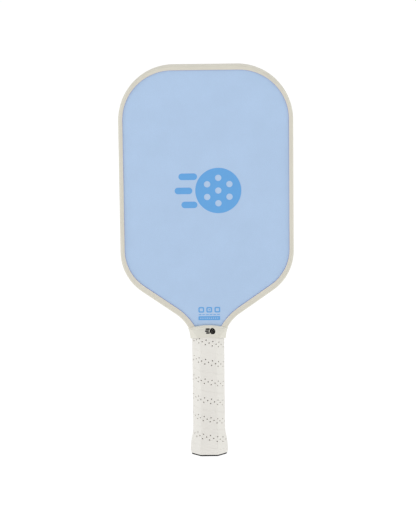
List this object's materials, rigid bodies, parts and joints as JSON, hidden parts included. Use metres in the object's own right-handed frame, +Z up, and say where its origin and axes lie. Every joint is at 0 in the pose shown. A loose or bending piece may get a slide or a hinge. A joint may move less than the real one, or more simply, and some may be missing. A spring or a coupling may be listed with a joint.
{
  "type": "pickleball paddle",
  "caption": "Wide-bodied bat with a flat pale blue hitting face each side, a cream U-channel edge guard, a rubber collar and an octagonal perforated cushion grip flared at the butt.",
  "frame": {"origin": "centre of the butt cap's flat end", "axes": "+Z up the handle to the top of the head, +Y from the front face to the back face, +X across the width"},
  "size_m": [0.1832, 0.0354, 0.4191],
  "materials": {
    "core": "natural polypropylene honeycomb",
    "bond": "cured adhesive film",
    "laminate": "woven fibre and resin laminate",
    "film": "matte pale blue print with a fine grit",
    "guard": "satin moulded cream plastic",
    "tape": "foam adhesive tape",
    "shell": "moulded grey plastic",
    "cap": "satin black plastic",
    "badge": "gloss cream insert",
    "steel": "bright wire",
    "wrap": "perforated off-white cushion, soft satin",
    "finish": "thin adhesive tape",
    "collar": "satin cream rubber"
  },
  "bodies": {
    "root": {"honeycomb_core": "core", "front_bond_film": "bond", "back_bond_film": "bond", "front_face_sheet": "laminate", "back_face_sheet": "laminate", "front_printed_film": "film", "back_printed_film": "film", "edge_guard": "guard", "edge_tape": "tape", "handle_shell_front": "shell", "handle_shell_back": "shell", "butt_cap": "cap", "butt_cap_badge": "badge", "cap_staple_left": "steel", "cap_staple_right": "steel", "grip_wrap": "wrap", "finishing_tape": "finish", "collar": "collar"}
  },
  "joints": []
}
